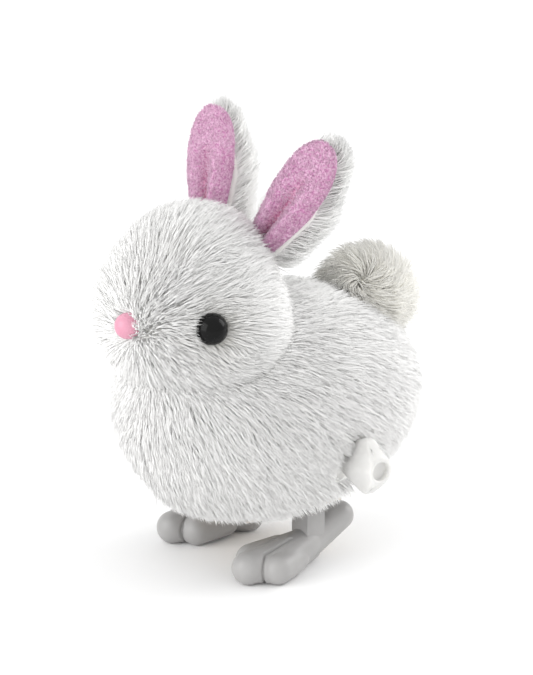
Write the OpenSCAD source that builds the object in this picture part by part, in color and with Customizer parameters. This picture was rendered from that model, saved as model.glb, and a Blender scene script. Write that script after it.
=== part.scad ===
// Plush wind-up hopping rabbit: a clockwork motor inside a soft body swings two big feet.
// The toy looks along -Y, its winding knob is on its left side (+X) and it stands on Z = 0.
// Sizes are millimetres. Points in the motor are [y, z] pairs, because every shaft runs along X.

/* [Body] */
// Width of the body over its fur
body_w = 48; // [40:1:60]
// Length of the body over its fur
body_l = 63; // [54:1:76]
// Height of the body over its fur
body_h = 44; // [37:1:54]
// How far the middle of the body lies behind the origin
body_y = 0.7; // [-2:0.1:3]
// Height of the belly fur above the floor
belly_z = 8.8; // [8:0.1:11]
// Width of the flattened underside
base_w = 33; // [28:0.5:36]
// Length of the flattened underside
base_l = 40; // [36:0.5:46]
// Thickness of the plush, backing cloth and pile together
pile = 3.6; // [2.5:0.1:4.5]

/* [Head] */
// Width of the head across the cheeks
head_w = 40; // [34:1:46]
// Length of the head, muzzle to nape
head_l = 34; // [29:1:40]
// Height of the cheek part of the head
head_h = 30; // [26:1:35]
// How far the head's middle lies in front of the body's middle
head_reach = 17.5; // [15:0.5:21]
// Height of the head's middle above the body's middle
head_rise = 20.5; // [18:0.5:24]
// Height that the crown adds above the cheeks
crown_rise = 5.5; // [2:0.5:7]
// Turn of the soft head to its left, degrees
head_turn = 11; // [0:1:15]
// Lean of the soft head to its left, degrees
head_lean = 6; // [0:1:8]
// Diameter of the eye beads
eye_d = 5.8; // [4.5:0.1:7]
// Diameter of the nose bead
nose_d = 4.8; // [4:0.1:5.8]

/* [Ears and tail] */
// Length of an ear above the fur of the head
ear_l = 22; // [18:0.5:27]
// Width of an ear over its fur
ear_w = 14; // [11:0.5:17]
// Thickness of an ear over its fur
ear_t = 6; // [5:0.1:7.2]
// Width of the ear's pink lining
lining_w = 12; // [10:0.1:12.6]
// Distance of each ear's root from the middle of the head
ear_x = 7; // [6:0.5:9]
// Lean of the ears outwards, degrees
ear_out = 23; // [15:1:30]
// Lean of the ears backwards, degrees
ear_back = 19; // [10:1:30]
// Turn of the ears towards each other, degrees
ear_turn = 6; // [0:1:20]
// Width of the tail pompom
tail_w = 18; // [15:0.5:22]
// Height of the tail pompom
tail_h = 17; // [14:0.5:20]

/* [Feet and legs] */
// Distance between the middle toes of the two feet
feet_gap = 25.9; // [24:0.1:30]
// Length of a foot from its middle toe to its heel
foot_l = 28.4; // [26:0.1:34]
// Radius of the middle toe
toe_r = 3.2; // [2.8:0.1:3.6]
// Width of a leg post, across the toy
post_w = 5; // [4:0.1:5.6]
// Depth of a leg post, along the toy
post_d = 4; // [3.4:0.1:4.8]
// Distance between the inner faces of the leg posts
posts_gap = 18.8; // [18.4:0.1:21]
// How far the legs' pivot lies behind the origin
pivot_y = 1.6; // [0:0.1:3]
// Furthest forward swing of the feet, degrees
leg_swing = 15; // [10:1:16]

/* [Motor] */
// Width of the motor casing
case_w = 16; // [15:0.1:17]
// Wall of the motor casing
case_wall = 0.9; // [0.8:0.05:1.2]
// Module of the gear teeth
tooth_m = 0.4; // [0.34:0.01:0.48]
// Teeth on the great wheel
great_teeth = 32; // [28:4:36]
// Teeth on the second wheel
second_teeth = 24; // [24:3:27]
// Teeth on both pinions
pinion_teeth = 8; // [8:1:9]
// Diameter of the winding arbor
arbor_d = 2; // [1.6:0.1:2.4]
// Diameter of the two small axles
axle_d = 1; // [0.8:0.05:1.2]
// Diameter of the shaft that carries the legs
leg_shaft_d = 2; // [1.6:0.1:2.4]
// Largest radius of the cam
cam_r = 3; // [2.6:0.1:3.4]
// Width of the mainspring strip
strip_w = 4.6; // [3.8:0.1:5]
// Turns of the mainspring
strip_turns = 5; // [4:1:6]

/* [Winding knob] */
// Height of the knob over its wings
knob_h = 10.6; // [8.8:0.1:12.8]
// How far the knob stands out of the fur
knob_out = 7.2; // [6:0.1:9]
// Diameter of the knob's round end
knob_end_d = 5; // [4.2:0.1:6]
// Thickness of the knob's wings
knob_wing_t = 2; // [1.6:0.1:2.4]

/* [Fits] */
// Radial clearance of a shaft that turns in a hole
run_gap = 0.05; // [0.02:0.01:0.09]
// Gap between pieces that move past each other
free_gap = 0.3; // [0.25:0.05:0.5]
// Gap between pieces that are pushed or glued together
seat_gap = 0.03; // [0.01:0.01:0.06]
// Gap left between the cam's lobe and the follower arm
lobe_gap = 0.2; // [0.15:0.05:0.3]

/* [Hidden] */

// Facets of the soft, blended shapes and of the turned shapes
soft_fn = 32;
ear_fn = 22;
toe_fn = 24;
bead_fn = 32;
turned_fn = 48;
// Something longer than the toy, for cuts that run right through
far = 200;

// Soft body and head
body_z = belly_z + body_h / 2;
body_semi = [body_w / 2, body_l / 2, body_h / 2];
base_rise = 4.7;
base_semi = [base_w / 2, base_l / 2, base_rise];
base_at = [0, body_y - 1.7, belly_z + base_rise];
chest_semi = [body_w / 3, body_l * 0.22, body_h * 0.3];
chest_at = [0, body_y - body_l * 0.28, body_z + body_h * 0.14];
head_at = [0, body_y - head_reach, body_z + head_rise];
cheek_semi = [head_w / 2, head_l / 2, head_h / 2];
cheek_drop = 2;
crown_semi = [head_w * 0.39, head_l * 0.44, head_h / 2 + 0.5];
crown_back = 1;

// Beads: directions from the middle of the cheeks, and how deep the beads sink in the fur
eye_dir = [14.3, -9, 4];
eye_sink = 1.8;
far_eye_dir = [14.3, -5.2, 4];
far_eye_sink = 2.7;
nose_dir = [0, -17, 1.4];
nose_sink = 1.4;
stem_r = 0.7;
washer_r = 1.9;
washer_t = 0.6;

// Ears: the root lies on the crown's back, ear_root_y behind and ear_root_z above its middle
ear_root_y = 11.5;
ear_root_z = 12.3;
ear_hold = 2.5;
lining_seat = 0.8;

// Tail
tail_l = 19;
tail_at = [0, body_y + 23, body_z + 16.7];
tail_hold = 2;

// Belly patch and casing
patch_t = 0.8;
patch_z = belly_z + 0.9;
case_z0 = patch_z + patch_t + 0.1;
inner_x = case_w / 2 - case_wall;

// Shafts, as [y, z]
hub_r = leg_shaft_d / 2 + 1.1;
pivot = [pivot_y, case_z0 + case_wall + hub_r + 0.9];
great_r = great_teeth * tooth_m / 2;
second_r = second_teeth * tooth_m / 2;
pinion_r = pinion_teeth * tooth_m / 2;
tooth_top = 0.85 * tooth_m;
tooth_root = 1.2 * tooth_m;
tooth_play = 0.05;
pivot_to_arbor = great_r + tooth_top + leg_shaft_d / 2 + 1.53;
arbor_angle = 66.5;
second_angle = 170;
cam_angle = 230;
function polar(r, a) = [r * cos(a), r * sin(a)];
arbor = pivot + polar(pivot_to_arbor, arbor_angle);
second = arbor + polar(great_r + pinion_r, second_angle);
cam = second + polar(second_r + pinion_r, cam_angle);

// Places of the wheels along X
great_x = -0.4;
great_t = 1.2;
second_x = -2.2;
second_t = 1;
pinion_end_x = 1.1;
cam_pinion_x = -2.6;
cam_pinion_end_x = -0.9;
cam_x = -4.8;
cam_t = 1.8;
arm_t = 1.5;
arm_x = cam_x + (cam_t - arm_t) / 2;
spring_end_x = pinion_end_x + 0.5;
part_x = 1.2;

// Casing outline: it clears the outermost wheels by case_gap
case_gap = 0.6;
case_y0 = cam[0] - cam_r - case_gap - case_wall;
case_y1 = arbor[0] + great_r + tooth_top + case_gap + case_wall;
case_z1 = max(arbor[1] + great_r, second[1] + second_r) + tooth_top + case_gap + case_wall;
case_corner = 2;
boss_r = 1.3;
peg_r = 0.7;
peg_l = 2;

// Mainspring
strip_t = 0.22;
strip_r0 = arbor_d / 2 + free_gap;
strip_r1 = great_r - 0.3;
hook_post_r = 0.5;

// Follower arm: it stands just outside the cam's lobe
arm_half = 0.9;
cam_bearing = cam - pivot;
cam_reach = norm(cam_bearing);
arm_angle = atan2(cam_bearing[1], cam_bearing[0]) - asin((cam_r + lobe_gap + arm_half) / cam_reach);
arm_l = sqrt(pow(cam_reach, 2) - pow(cam_r + lobe_gap + arm_half, 2)) - 0.2;
finger_l = 6.2;
finger_at = pivot + [finger_l, 0];

// Return spring: it pulls the finger of the follower arm upwards
coil_r = 0.85;
wire_r = 0.17;
coil_turns = 6;
spring_x = arm_x + arm_t / 2;
pin_r = 0.35;
loop_r = pin_r + wire_r + 0.12;
spring_top = finger_at + [0, 6];

// Legs and feet
leg_x = posts_gap / 2;
hub_x = case_w / 2 + free_gap;
hub_end_x = leg_x + post_w - 1;
post_end = 5.2;
post_at = [leg_x + post_w / 2, pivot_y];
foot_x = feet_gap / 2;
toe_y = pivot_y + 10.8 - foot_l + toe_r;
heel_r = 2.3;
sole_back = 1.5;
heel_at = [post_at[0] - 0.9, toe_y - toe_r + foot_l - heel_r, 8.7];

// Knob: its root hides in the fur of the flank
function flank(y, z) = body_semi[0]
    * sqrt(1 - pow((y - body_y) / body_semi[1], 2) - pow((z - body_z) / body_semi[2], 2));
knob_fur_x = flank(arbor[0], arbor[1]);
knob_x0 = knob_fur_x - pile;
knob_x1 = knob_fur_x + knob_out;
knob_depth = 1.1;
knob_rim = 0.75;

function ellipsoid_point(semi, d) = d / norm([d.x / semi.x, d.y / semi.y, d.z / semi.z]);
function ellipsoid_normal(semi, p) =
    let (n = [p.x / pow(semi.x, 2), p.y / pow(semi.y, 2), p.z / pow(semi.z, 2)]) n / norm(n);

// Flank of an involute tooth, as half its angular width at radius r
function involute(a) = tan(a) * 180 / PI - a;
function half_tooth(r, pitch_r, teeth) =
    let (base_r = pitch_r * cos(20), a = r > base_r ? acos(base_r / r) : 0)
    90 / teeth + involute(20) - involute(a) - tooth_play / pitch_r * 180 / PI;
function tooth_radii(pitch_r) =
    [pitch_r - tooth_root, pitch_r - 0.35 * tooth_top, pitch_r + 0.35 * tooth_top, pitch_r + tooth_top];
function gear_outline(teeth, pitch_r, turn) = [
    for (i = [0:teeth - 1], side = [-1, 1], k = [0:3])
        let (r = tooth_radii(pitch_r)[side < 0 ? k : 3 - k])
        polar(r, turn + i * 360 / teeth + side * half_tooth(r, pitch_r, teeth))
];

// Helpers

// Joins soft, blended shapes into one mesh without changing their size
module soft() {
    resize([0, 0, 0]) children();
}

module ellipsoid(semi, facets = soft_fn) {
    scale(semi) sphere(r = 1, $fn = facets);
}

// A round bar along X
module bar(x0, x1, r, at) {
    translate([x0, at[0], at[1]]) rotate([0, 90, 0]) cylinder(h = x1 - x0, r = r, $fn = turned_fn);
}

// A flat outline in the YZ plane, given thickness along X
module slab(x0, thickness) {
    translate([x0, 0, 0]) rotate([90, 0, 90]) linear_extrude(thickness) children();
}

// Turns the Z axis of its children to point along d
module aim(d) {
    rotate([0, acos(d.z / norm(d)), atan2(d.y, d.x)]) children();
}

// A box along X with its four long edges rounded
module round_box(x0, x1, y0, y1, z0, z1, r) {
    translate([x0, y0 + r, z0]) cube([x1 - x0, y1 - y0 - 2 * r, z1 - z0]);
    translate([x0, y0, z0 + r]) cube([x1 - x0, y1 - y0, z1 - z0 - 2 * r]);
    for (y = [y0 + r, y1 - r], z = [z0 + r, z1 - r]) bar(x0, x1, r, [y, z]);
}

// The fur envelope, or a skin that lies inset below it

module body_form(inset) {
    low = [inset, inset, inset];
    hull() {
        translate([0, body_y, body_z]) ellipsoid(body_semi - low);
        translate(base_at) ellipsoid(base_semi - low * (base_rise - 1) / (base_rise * 1.2));
        translate(chest_at) ellipsoid(chest_semi - low);
    }
}

module in_head() {
    translate(head_at) rotate([0, head_lean, head_turn]) children();
}

module head_form(inset) {
    low = [inset, inset, inset];
    in_head() hull() {
        translate([0, 0, -cheek_drop]) ellipsoid(cheek_semi - low);
        translate([0, crown_back, crown_rise - cheek_drop]) ellipsoid(crown_semi - low);
    }
}

// A bead's place in the head: sunk below the cheek's surface and turned to face outwards
module on_cheek(d, sink) {
    p = ellipsoid_point(cheek_semi, d);
    n = ellipsoid_normal(cheek_semi, p);
    translate([0, 0, -cheek_drop]) translate(p - n * sink) aim(n) children();
}

module bead(d, stem_l) {
    sphere(d = d, $fn = bead_fn);
    translate([0, 0, -stem_l]) cylinder(h = stem_l, r = stem_r, $fn = bead_fn);
    translate([0, 0, -stem_l]) cylinder(h = washer_t, r = washer_r, $fn = bead_fn);
}

module left_eye_bead(gap) {
    in_head() on_cheek(eye_dir, eye_sink) bead(eye_d + 2 * gap, pile + eye_d / 4);
}

module right_eye_bead(gap) {
    in_head() mirror([1, 0, 0]) on_cheek(far_eye_dir, far_eye_sink)
        bead(eye_d + 2 * gap, pile + eye_d / 4);
}

module nose_bead(gap) {
    in_head() on_cheek(nose_dir, nose_sink) bead(nose_d + 2 * gap, pile + nose_d / 4);
}

// Ears: a flat paddle with a lining let into its front

module ear_outline(w, t, y, low, top) {
    w2 = w / 2;
    hull() {
        translate([0, y, low + w2 * 0.5]) ellipsoid([w2 * 0.74, t / 2 * 0.9, w2 * 0.7], ear_fn);
        translate([0, y, ear_l * 0.42]) ellipsoid([w2, t / 2, w2], ear_fn);
        translate([0, y, top - w2 * 0.62]) ellipsoid([w2 * 0.6, t / 2 * 0.75, w2 * 0.62], ear_fn);
    }
}

module lining_form() {
    ear_outline(lining_w, ear_t * 0.6, -ear_t * 0.28, 0, ear_l - (ear_w - lining_w) / 2);
}

module ear_frame() {
    translate([ear_x, ear_root_y, ear_root_z])
        rotate([-ear_back, ear_out, 0]) rotate([0, 0, -ear_turn]) children();
}

module left_ear_frame() {
    in_head() ear_frame() children();
}

module right_ear_frame() {
    in_head() mirror([1, 0, 0]) ear_frame() children();
}

module ear_back() {
    difference() {
        ear_outline(ear_w, ear_t, 0, -4, ear_l);
        ear_lining();
    }
}

module ear_lining() {
    intersection() {
        lining_form();
        translate([-far / 2, -far - lining_seat, -far / 2]) cube(far);
    }
}

module ears_form() {
    left_ear_frame() ear_outline(ear_w, ear_t, 0, -4, ear_l);
    left_ear_frame() lining_form();
    right_ear_frame() ear_outline(ear_w, ear_t, 0, -4, ear_l);
    right_ear_frame() lining_form();
}

module tail_form() {
    difference() {
        translate(tail_at) ellipsoid([tail_w, tail_l, tail_h] / 2);
        body_form(tail_hold);
    }
}

// Rooms in the plush for the motor, the legs and the knob

module patch_outline(grow) {
    translate([-hub_x + 0.1 - grow, case_y0 + 1.5 - grow])
        square([2 * (hub_x - 0.1 + grow), case_y1 - case_y0 - 3 + 2 * grow]);
}

module leg_room() {
    room_w = hub_end_x + 1 + free_gap * 2 - case_w / 2;
    toe_side = pivot_y - post_d / 2 - 9 * sin(leg_swing) - free_gap;
    heel_side = heel_at.y + heel_r + free_gap * 2;
    heel_top = heel_at.z + heel_r + free_gap * 2;
    hub_top = pivot[1] + hub_r + free_gap * 2;
    for (s = [0, 1]) mirror([s, 0, 0]) translate([case_w / 2, 0, 0]) {
        translate([0, toe_side, -1]) cube([room_w, heel_side - toe_side, heel_top + 1]);
        translate([0, toe_side, -1]) cube([room_w, pivot_y + hub_r + 1 - toe_side, hub_top + 1]);
    }
}

module knob_room() {
    bar(case_w / 2 - 1, knob_x0, arbor_d / 2 + free_gap, arbor);
    bar(knob_x0 - 1, far, knob_h / 2 + free_gap, arbor);
}

module case_room() {
    translate([-case_w / 2 - 0.1, case_y0 - 0.1, case_z0 - 3])
        cube([case_w + 0.2, case_y1 - case_y0 + 0.2, case_z1 - case_z0 + 3.1]);
}

module plush_shell() {
    difference() {
        union() {
            body_form(0);
            head_form(0);
        }
        body_form(pile);
        head_form(pile);
        ears_cut();
        tail_form();
        left_eye_bead(seat_gap);
        right_eye_bead(seat_gap);
        nose_bead(seat_gap);
        leg_room();
        knob_room();
        case_room();
        translate([0, 0, -1]) linear_extrude(case_z0 + 1) patch_outline(seat_gap);
    }
}

module ears_cut() {
    difference() {
        ears_form();
        head_form(ear_hold);
    }
}

// Soft pieces

module cover_left() {
    color("whitesmoke") soft() intersection() {
        plush_shell();
        translate([0, -far / 2, -far / 2]) cube(far);
    }
}

module cover_right() {
    color("whitesmoke") soft() intersection() {
        plush_shell();
        translate([-far, -far / 2, -far / 2]) cube(far);
    }
}

module belly_patch() {
    color("wheat") translate([0, 0, patch_z]) linear_extrude(patch_t) patch_outline(0);
}

module head_stuffing() {
    color("white") soft() difference() {
        head_form(pile + seat_gap);
        left_eye_bead(seat_gap);
        right_eye_bead(seat_gap);
        nose_bead(seat_gap);
        case_room();
    }
}

module body_stuffing() {
    color("white") soft() difference() {
        body_form(pile + seat_gap);
        head_form(pile);
        leg_room();
        knob_room();
        case_room();
    }
}

module left_ear_back() {
    color("whitesmoke") soft() difference() {
        left_ear_frame() ear_back();
        head_form(ear_hold);
    }
}

module right_ear_back() {
    color("whitesmoke") soft() difference() {
        right_ear_frame() ear_back();
        head_form(ear_hold);
    }
}

module left_ear_lining() {
    color("hotpink") soft() difference() {
        left_ear_frame() ear_lining();
        head_form(ear_hold);
    }
}

module right_ear_lining() {
    color("hotpink") soft() difference() {
        right_ear_frame() ear_lining();
        head_form(ear_hold);
    }
}

module tail_pompom() {
    color("cornsilk") soft() tail_form();
}

module left_eye() {
    color("black") left_eye_bead(0);
}

module right_eye() {
    color("black") right_eye_bead(0);
}

module nose() {
    color("palevioletred") nose_bead(0);
}

// Motor casing: two trays that meet at part_x on pegs

module case_boss_places() {
    for (y = [case_y0 + case_wall + boss_r - 0.2, case_y1 - case_wall - boss_r + 0.2],
         z = [case_z0 + case_wall + boss_r - 0.2, case_z1 - case_wall - boss_r + 0.2])
        translate([0, y, z]) children();
}

module case_tray(x0, x1, inner_x0, inner_x1) {
    difference() {
        round_box(x0, x1, case_y0, case_y1, case_z0, case_z1, case_corner);
        round_box(inner_x0, inner_x1, case_y0 + case_wall, case_y1 - case_wall,
            case_z0 + case_wall, case_z1 - case_wall, case_corner - case_wall);
    }
}

// Bearing holes: the second axle has slots, so that its pinion climbs out of mesh in winding
module bearing_holes() {
    slot = polar(0.5, second_angle);
    bar(-far / 2, far / 2, arbor_d / 2 + run_gap, arbor);
    bar(-far / 2, far / 2, leg_shaft_d / 2 + run_gap, pivot);
    bar(-far / 2, far / 2, axle_d / 2 + run_gap, cam);
    for (t = [0:0.25:1]) bar(-far / 2, far / 2, axle_d / 2 + run_gap, second + slot * t);
}

module case_left() {
    color("white") difference() {
        union() {
            case_tray(part_x, case_w / 2, part_x - 1, inner_x);
            case_boss_places() bar(part_x, case_w / 2, boss_r, [0, 0]);
            case_boss_places() bar(part_x - peg_l, case_w / 2, peg_r, [0, 0]);
            bar(spring_end_x + 0.2, case_w / 2, hook_post_r, arbor + polar(strip_r1 + strip_t, 40));
        }
        bearing_holes();
    }
}

module case_right() {
    color("white") difference() {
        union() {
            case_tray(-case_w / 2, part_x, -inner_x, part_x + 1);
            case_boss_places() bar(-case_w / 2, part_x, boss_r, [0, 0]);
            bar(-case_w / 2, spring_x + wire_r * 3, pin_r, spring_top);
            stop_rib();
        }
        case_boss_places() bar(part_x - peg_l - 0.3, part_x + 1, peg_r + seat_gap, [0, 0]);
        bearing_holes();
    }
}

// Rib above the follower's finger: it stops the legs where the feet stand flat
module stop_rib() {
    translate([-case_w / 2, pivot[0] + hub_r + 0.6, pivot[1] + arm_half + lobe_gap / 2])
        cube([arm_x + arm_t + case_w / 2, 1.2, 1.4]);
}

// Winder: knob, arbor and great wheel turn together

module knob_wing() {
    // Half outline from the root to the round end: [distance along the knob, height]
    half_h = knob_h / 2;
    span = knob_x1 - knob_x0;
    end_r = knob_end_d / 2 - 0.1;
    tops = [[0.6, end_r * 0.8], [span * 0.32, half_h * 0.8], [span * 0.55, half_h * 0.98],
        [span * 0.68, half_h], [span * 0.8, half_h * 0.8], [span * 0.93, end_r]];
    bottoms = [for (i = [len(tops) - 1:-1:0]) [tops[i][0], -tops[i][1]]];
    rotate([90, 0, 0]) translate([0, 0, -knob_wing_t / 2])
        linear_extrude(knob_wing_t) polygon(concat(tops, bottoms));
}

module winding_knob() {
    end_r = knob_end_d / 2;
    color("snow") difference() {
        hull() {
            bar(knob_x0, knob_x1, end_r, arbor);
            translate([knob_x0, arbor[0], arbor[1]]) knob_wing();
        }
        bar(knob_x1 - knob_depth, knob_x1 + 1, end_r - knob_rim, arbor);
        bar(knob_x0 - 1, knob_x1 - 2 * knob_depth, arbor_d / 2, arbor);
    }
}

module winding_arbor() {
    color("silver") bar(-case_w / 2, knob_x1 - 2 * knob_depth, arbor_d / 2, arbor);
}

module great_wheel() {
    color("ivory") difference() {
        union() {
            translate([0, arbor[0], arbor[1]]) slab(great_x, great_t)
                polygon(gear_outline(great_teeth, great_r, second_angle));
            bar(great_x - 0.5, great_x + great_t, arbor_d, arbor);
        }
        bar(-far / 2, far / 2, arbor_d / 2, arbor);
    }
}

// A steel strip wound in a flat spiral; its outer end lies on the casing's hook post
module mainspring() {
    steps = 20;
    turns = strip_turns * steps;
    pitch = (strip_r1 - strip_r0) / turns;
    outer = [for (i = [0:turns]) polar(strip_r0 + i * pitch + strip_t, i * 360 / steps)];
    inner = [for (i = [turns:-1:0]) polar(strip_r0 + i * pitch, i * 360 / steps)];
    color("slategray") translate([0, arbor[0], arbor[1]])
        slab(spring_end_x, min(strip_w, inner_x - free_gap - spring_end_x))
            rotate(22) polygon(concat(outer, inner));
}

// Gear train from the great wheel to the cam

module second_wheel() {
    color("ivory") difference() {
        translate([0, second[0], second[1]]) {
            slab(second_x, second_t) polygon(gear_outline(second_teeth, second_r, cam_angle));
            slab(second_x + second_t, pinion_end_x - second_x - second_t)
                polygon(gear_outline(pinion_teeth, pinion_r, second_angle + 180 + 180 / pinion_teeth));
        }
        bar(-far / 2, far / 2, axle_d / 2, second);
    }
}

module second_axle() {
    color("silver") bar(-case_w / 2, case_w / 2, axle_d / 2, second);
}

// Snail cam: its radius grows with the turn, so the feet creep forwards and then snap back
module cam_wheel() {
    steps = 24;
    low_r = cam_r * 0.5;
    snail = [for (i = [0:steps]) polar(low_r + (cam_r - low_r) * i / steps, 15 * i)];
    color("ivory") difference() {
        translate([0, cam[0], cam[1]]) {
            slab(cam_x, cam_t) polygon(snail);
            slab(cam_pinion_x, cam_pinion_end_x - cam_pinion_x)
                polygon(gear_outline(pinion_teeth, pinion_r, cam_angle + 180 + 180 / pinion_teeth));
            bar(cam_x + cam_t / 2, cam_pinion_end_x - 0.2, pinion_r * 0.6, [0, 0]);
        }
        bar(-far / 2, far / 2, axle_d / 2, cam);
    }
}

module cam_axle() {
    color("silver") bar(-case_w / 2, case_w / 2, axle_d / 2, cam);
}

// Legs: one shaft carries the follower arm, both legs and both feet

module leg_shaft() {
    color("silver") bar(-hub_end_x, hub_end_x, leg_shaft_d / 2, pivot);
}

module arm_bar(length, angle) {
    translate([0, pivot[0], pivot[1]]) rotate([angle, 0, 0]) {
        translate([arm_x, 0, -arm_half]) cube([arm_t, length, 2 * arm_half]);
        bar(arm_x, arm_x + arm_t, arm_half, [length, 0]);
    }
}

module follower_arm() {
    hub_lip = 0.15;
    color("ivory") difference() {
        union() {
            bar(arm_x - hub_lip, arm_x + arm_t + 1, hub_r, pivot);
            arm_bar(arm_l, arm_angle);
            arm_bar(finger_l - loop_r - wire_r - arm_half - 2 * free_gap, 0);
            finger_fork();
        }
        bar(-far / 2, far / 2, leg_shaft_d / 2, pivot);
    }
}

// Two cheeks with a pin between them for the return spring's lower loop
module finger_fork() {
    cheek_t = 0.4;
    cheek_half = pin_r + 0.25;
    bridge_t = 0.8;
    inner_half = coil_r + wire_r + 0.15;
    x0 = spring_x - inner_half - cheek_t;
    x1 = spring_x + inner_half + cheek_t;
    y0 = finger_at[0] - loop_r - wire_r - free_gap - bridge_t;
    bar(x0, x1, pin_r, finger_at);
    for (x = [x0, x1 - cheek_t])
        translate([x, y0, pivot[1] - cheek_half])
            cube([cheek_t, finger_at[0] - y0 + cheek_half, 2 * cheek_half]);
    translate([x0, y0, pivot[1] - cheek_half]) cube([x1 - x0, bridge_t, 2 * cheek_half]);
}

module leg() {
    difference() {
        union() {
            bar(hub_x, hub_end_x, hub_r, pivot);
            translate([leg_x, pivot_y - post_d / 2, post_end])
                cube([post_w, post_d, pivot[1] - post_end - 1]);
            translate([leg_x + post_w / 2 - 0.5, pivot_y + post_d / 2, post_end + 2])
                cube([1, 0.9, pivot[1] - post_end - 3.5]);
        }
        bar(-far / 2, far / 2, leg_shaft_d / 2, pivot);
    }
}

module left_leg() {
    color("gainsboro") leg();
}

module right_leg() {
    color("gainsboro") mirror([1, 0, 0]) leg();
}

module ball(at, r) {
    translate(at) sphere(r = r, $fn = toe_fn);
}

// A toe and the part of the foot behind it
module toe(at, r, back) {
    hull() {
        ball(at, r);
        ball(back, r);
    }
}

module foot_form() {
    side_r = toe_r * 0.92;
    back_y = pivot_y - 5;
    back_z = toe_r + 0.3;
    middle = post_at[0] + 0.4;
    toe([foot_x, toe_y, toe_r * 0.94], toe_r, [middle, back_y, back_z]);
    toe([foot_x - 3.8, toe_y + 3.2, side_r * 0.94], side_r, [middle - 2.6, back_y, back_z - 0.3]);
    toe([foot_x + 3.2, toe_y + 4.4, side_r * 0.94], side_r, [middle + 2.2, back_y, back_z - 0.3]);
    hull() {
        ball([post_at[0] - 2.2, pivot_y + sole_back, 2.4], 2.6);
        ball([middle + 1.6, back_y, back_z - 0.3], side_r);
        ball([post_at[0] - 0.6, pivot_y + 1, 5.1], 2.6);
    }
    hull() {
        ball([middle, back_y, back_z + 0.2], 3.1);
        ball([post_at[0] - 0.3, pivot_y + 2, 5.4], 2.9);
    }
    hull() {
        ball([post_at[0] - 0.3, pivot_y + 0.6, 5.2], 2.8);
        ball(heel_at, heel_r);
    }
}

module foot() {
    soft() difference() {
        foot_form();
        translate([-far / 2, -far / 2, -far]) cube(far);
        translate([leg_x, pivot_y - post_d / 2, post_end]) cube([post_w, post_d, far]);
        translate([leg_x + post_w / 2 - 0.5, pivot_y + post_d / 2 - 0.1, post_end + 2])
            cube([1, 1, far]);
    }
}

module left_foot() {
    color("lightgray") foot();
}

module right_foot() {
    color("lightgray") mirror([1, 0, 0]) foot();
}

// Closed tube round a helix: a ring of wire_sides points at each step, capped at both ends
module coil(radius, height, turns) {
    wire_sides = 8;
    steps = turns * 14;
    points = [for (i = [0:steps], j = [0:wire_sides - 1])
        let (a = i * 360 / 14, b = j * 360 / wire_sides, r = radius + wire_r * cos(b))
        [r * cos(a), r * sin(a), height * i / steps + wire_r * sin(b)]];
    walls = [for (i = [0:steps - 1], j = [0:wire_sides - 1])
        let (k = (j + 1) % wire_sides, p = i * wire_sides, q = p + wire_sides)
        [p + k, q + k, q + j, p + j]];
    start = [for (j = [wire_sides - 1:-1:0]) j];
    end = [for (j = [0:wire_sides - 1]) steps * wire_sides + j];
    polyhedron(points, concat(walls, [start, end]), convexity = 10);
}

module spring_loop() {
    rotate([0, 90, 0]) rotate_extrude($fn = 20) translate([loop_r, 0]) circle(wire_r, $fn = 8);
}

module return_spring() {
    low = finger_at[1] + loop_r;
    high = spring_top[1] - loop_r;
    color("silver") soft() {
        translate([spring_x, finger_at[0], finger_at[1]]) spring_loop();
        translate([spring_x, spring_top[0], spring_top[1]]) spring_loop();
        translate([spring_x, finger_at[0], low + wire_r]) coil(coil_r, high - low - 2 * wire_r, coil_turns);
        for (z = [low - wire_r, high - wire_r])
            translate([spring_x - wire_r, finger_at[0] - wire_r, z])
                cube([coil_r + 2 * wire_r, 2 * wire_r, 2 * wire_r]);
    }
}

cover_left();
cover_right();
belly_patch();
head_stuffing();
body_stuffing();
left_ear_back();
right_ear_back();
left_ear_lining();
right_ear_lining();
tail_pompom();
left_eye();
right_eye();
nose();
case_left();
case_right();
winding_knob();
winding_arbor();
great_wheel();
mainspring();
second_wheel();
second_axle();
cam_wheel();
cam_axle();
leg_shaft();
follower_arm();
left_leg();
right_leg();
left_foot();
right_foot();
return_spring();
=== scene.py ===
# %% [markdown]
# # A wind-up hopping rabbit in plush
# The rabbit is a clockwork motor in a soft body. Its gears, shafts and casing come ready made from
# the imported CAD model. This lesson gives it what cannot be drawn with plain solids: long fur, velour
# ears, glossy beads and moulded feet. Everything is in metres, in the CAD model's own frame.

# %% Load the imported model
import math

import bmesh
import bpy
import numpy as np
from mathutils import Matrix, Vector
from mathutils.bvhtree import BVHTree
from mathutils.kdtree import KDTree


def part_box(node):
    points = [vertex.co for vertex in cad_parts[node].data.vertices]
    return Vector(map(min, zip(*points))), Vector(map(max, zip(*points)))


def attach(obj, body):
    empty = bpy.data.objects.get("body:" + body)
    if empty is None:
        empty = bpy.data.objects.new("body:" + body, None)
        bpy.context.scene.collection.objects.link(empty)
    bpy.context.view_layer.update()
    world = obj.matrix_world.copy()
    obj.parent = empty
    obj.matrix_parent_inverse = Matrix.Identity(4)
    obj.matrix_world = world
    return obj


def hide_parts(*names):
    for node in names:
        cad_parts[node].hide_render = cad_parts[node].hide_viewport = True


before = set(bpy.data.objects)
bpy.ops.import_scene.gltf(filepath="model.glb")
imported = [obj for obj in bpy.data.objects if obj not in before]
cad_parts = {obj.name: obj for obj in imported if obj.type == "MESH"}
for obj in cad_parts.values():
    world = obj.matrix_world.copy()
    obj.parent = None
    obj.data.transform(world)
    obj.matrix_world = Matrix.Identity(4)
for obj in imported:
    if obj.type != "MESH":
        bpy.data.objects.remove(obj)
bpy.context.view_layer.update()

MM = 0.001

# %% [markdown]
# ## Camera first
# The camera stands at the toy's left front, a little above it, with a long lens so that the toy is
# not stretched. It aims at a point a little below the middle, and the shift moves the toy in the
# picture without turning the camera.

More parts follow.
